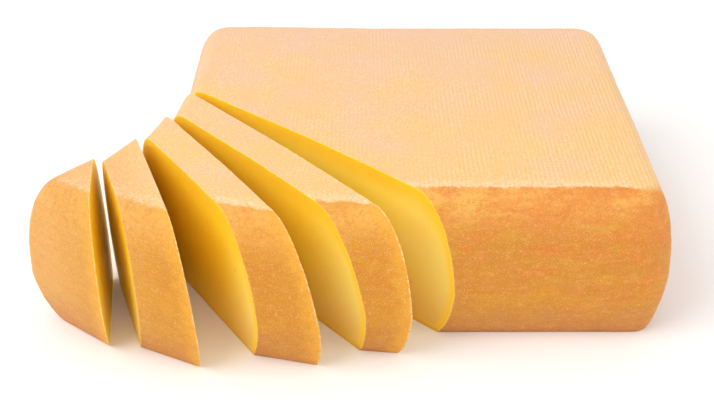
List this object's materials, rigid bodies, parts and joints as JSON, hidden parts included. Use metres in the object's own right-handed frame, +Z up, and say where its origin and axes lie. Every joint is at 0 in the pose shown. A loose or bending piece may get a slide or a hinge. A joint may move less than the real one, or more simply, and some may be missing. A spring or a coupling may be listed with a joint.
{
  "type": "raclette cheese block",
  "caption": "Square block of raclette cheese with a bulging orange rind, and slices cut across one corner, fanned out beside it.",
  "frame": {"origin": "middle of the footprint of everything, on the surface that the cheese stands on", "axes": "+Z up, -Y towards the viewer, with the long uncut front side facing -Y, and +X to the viewer's right; the cut pieces fan out at the front left"},
  "size_m": [0.3242, 0.2688, 0.0821],
  "materials": {
    "rind_block": "washed cheese rind, matt to satin, peach on top and orange on the sides",
    "cut_slice": "waxy golden yellow cheese paste with a thin orange rind at the edges",
    "cut_slice_outer": "waxy golden yellow cheese paste with a thin orange rind at the edges",
    "rind_corner": "washed cheese rind round the corner, waxy yellow paste on the cut"
  },
  "bodies": {
    "root": {"cheese_block": "rind_block", "slice_inner": "cut_slice", "slice_middle": "cut_slice", "slice_outer": "cut_slice_outer", "corner_piece": "rind_corner"}
  },
  "joints": []
}
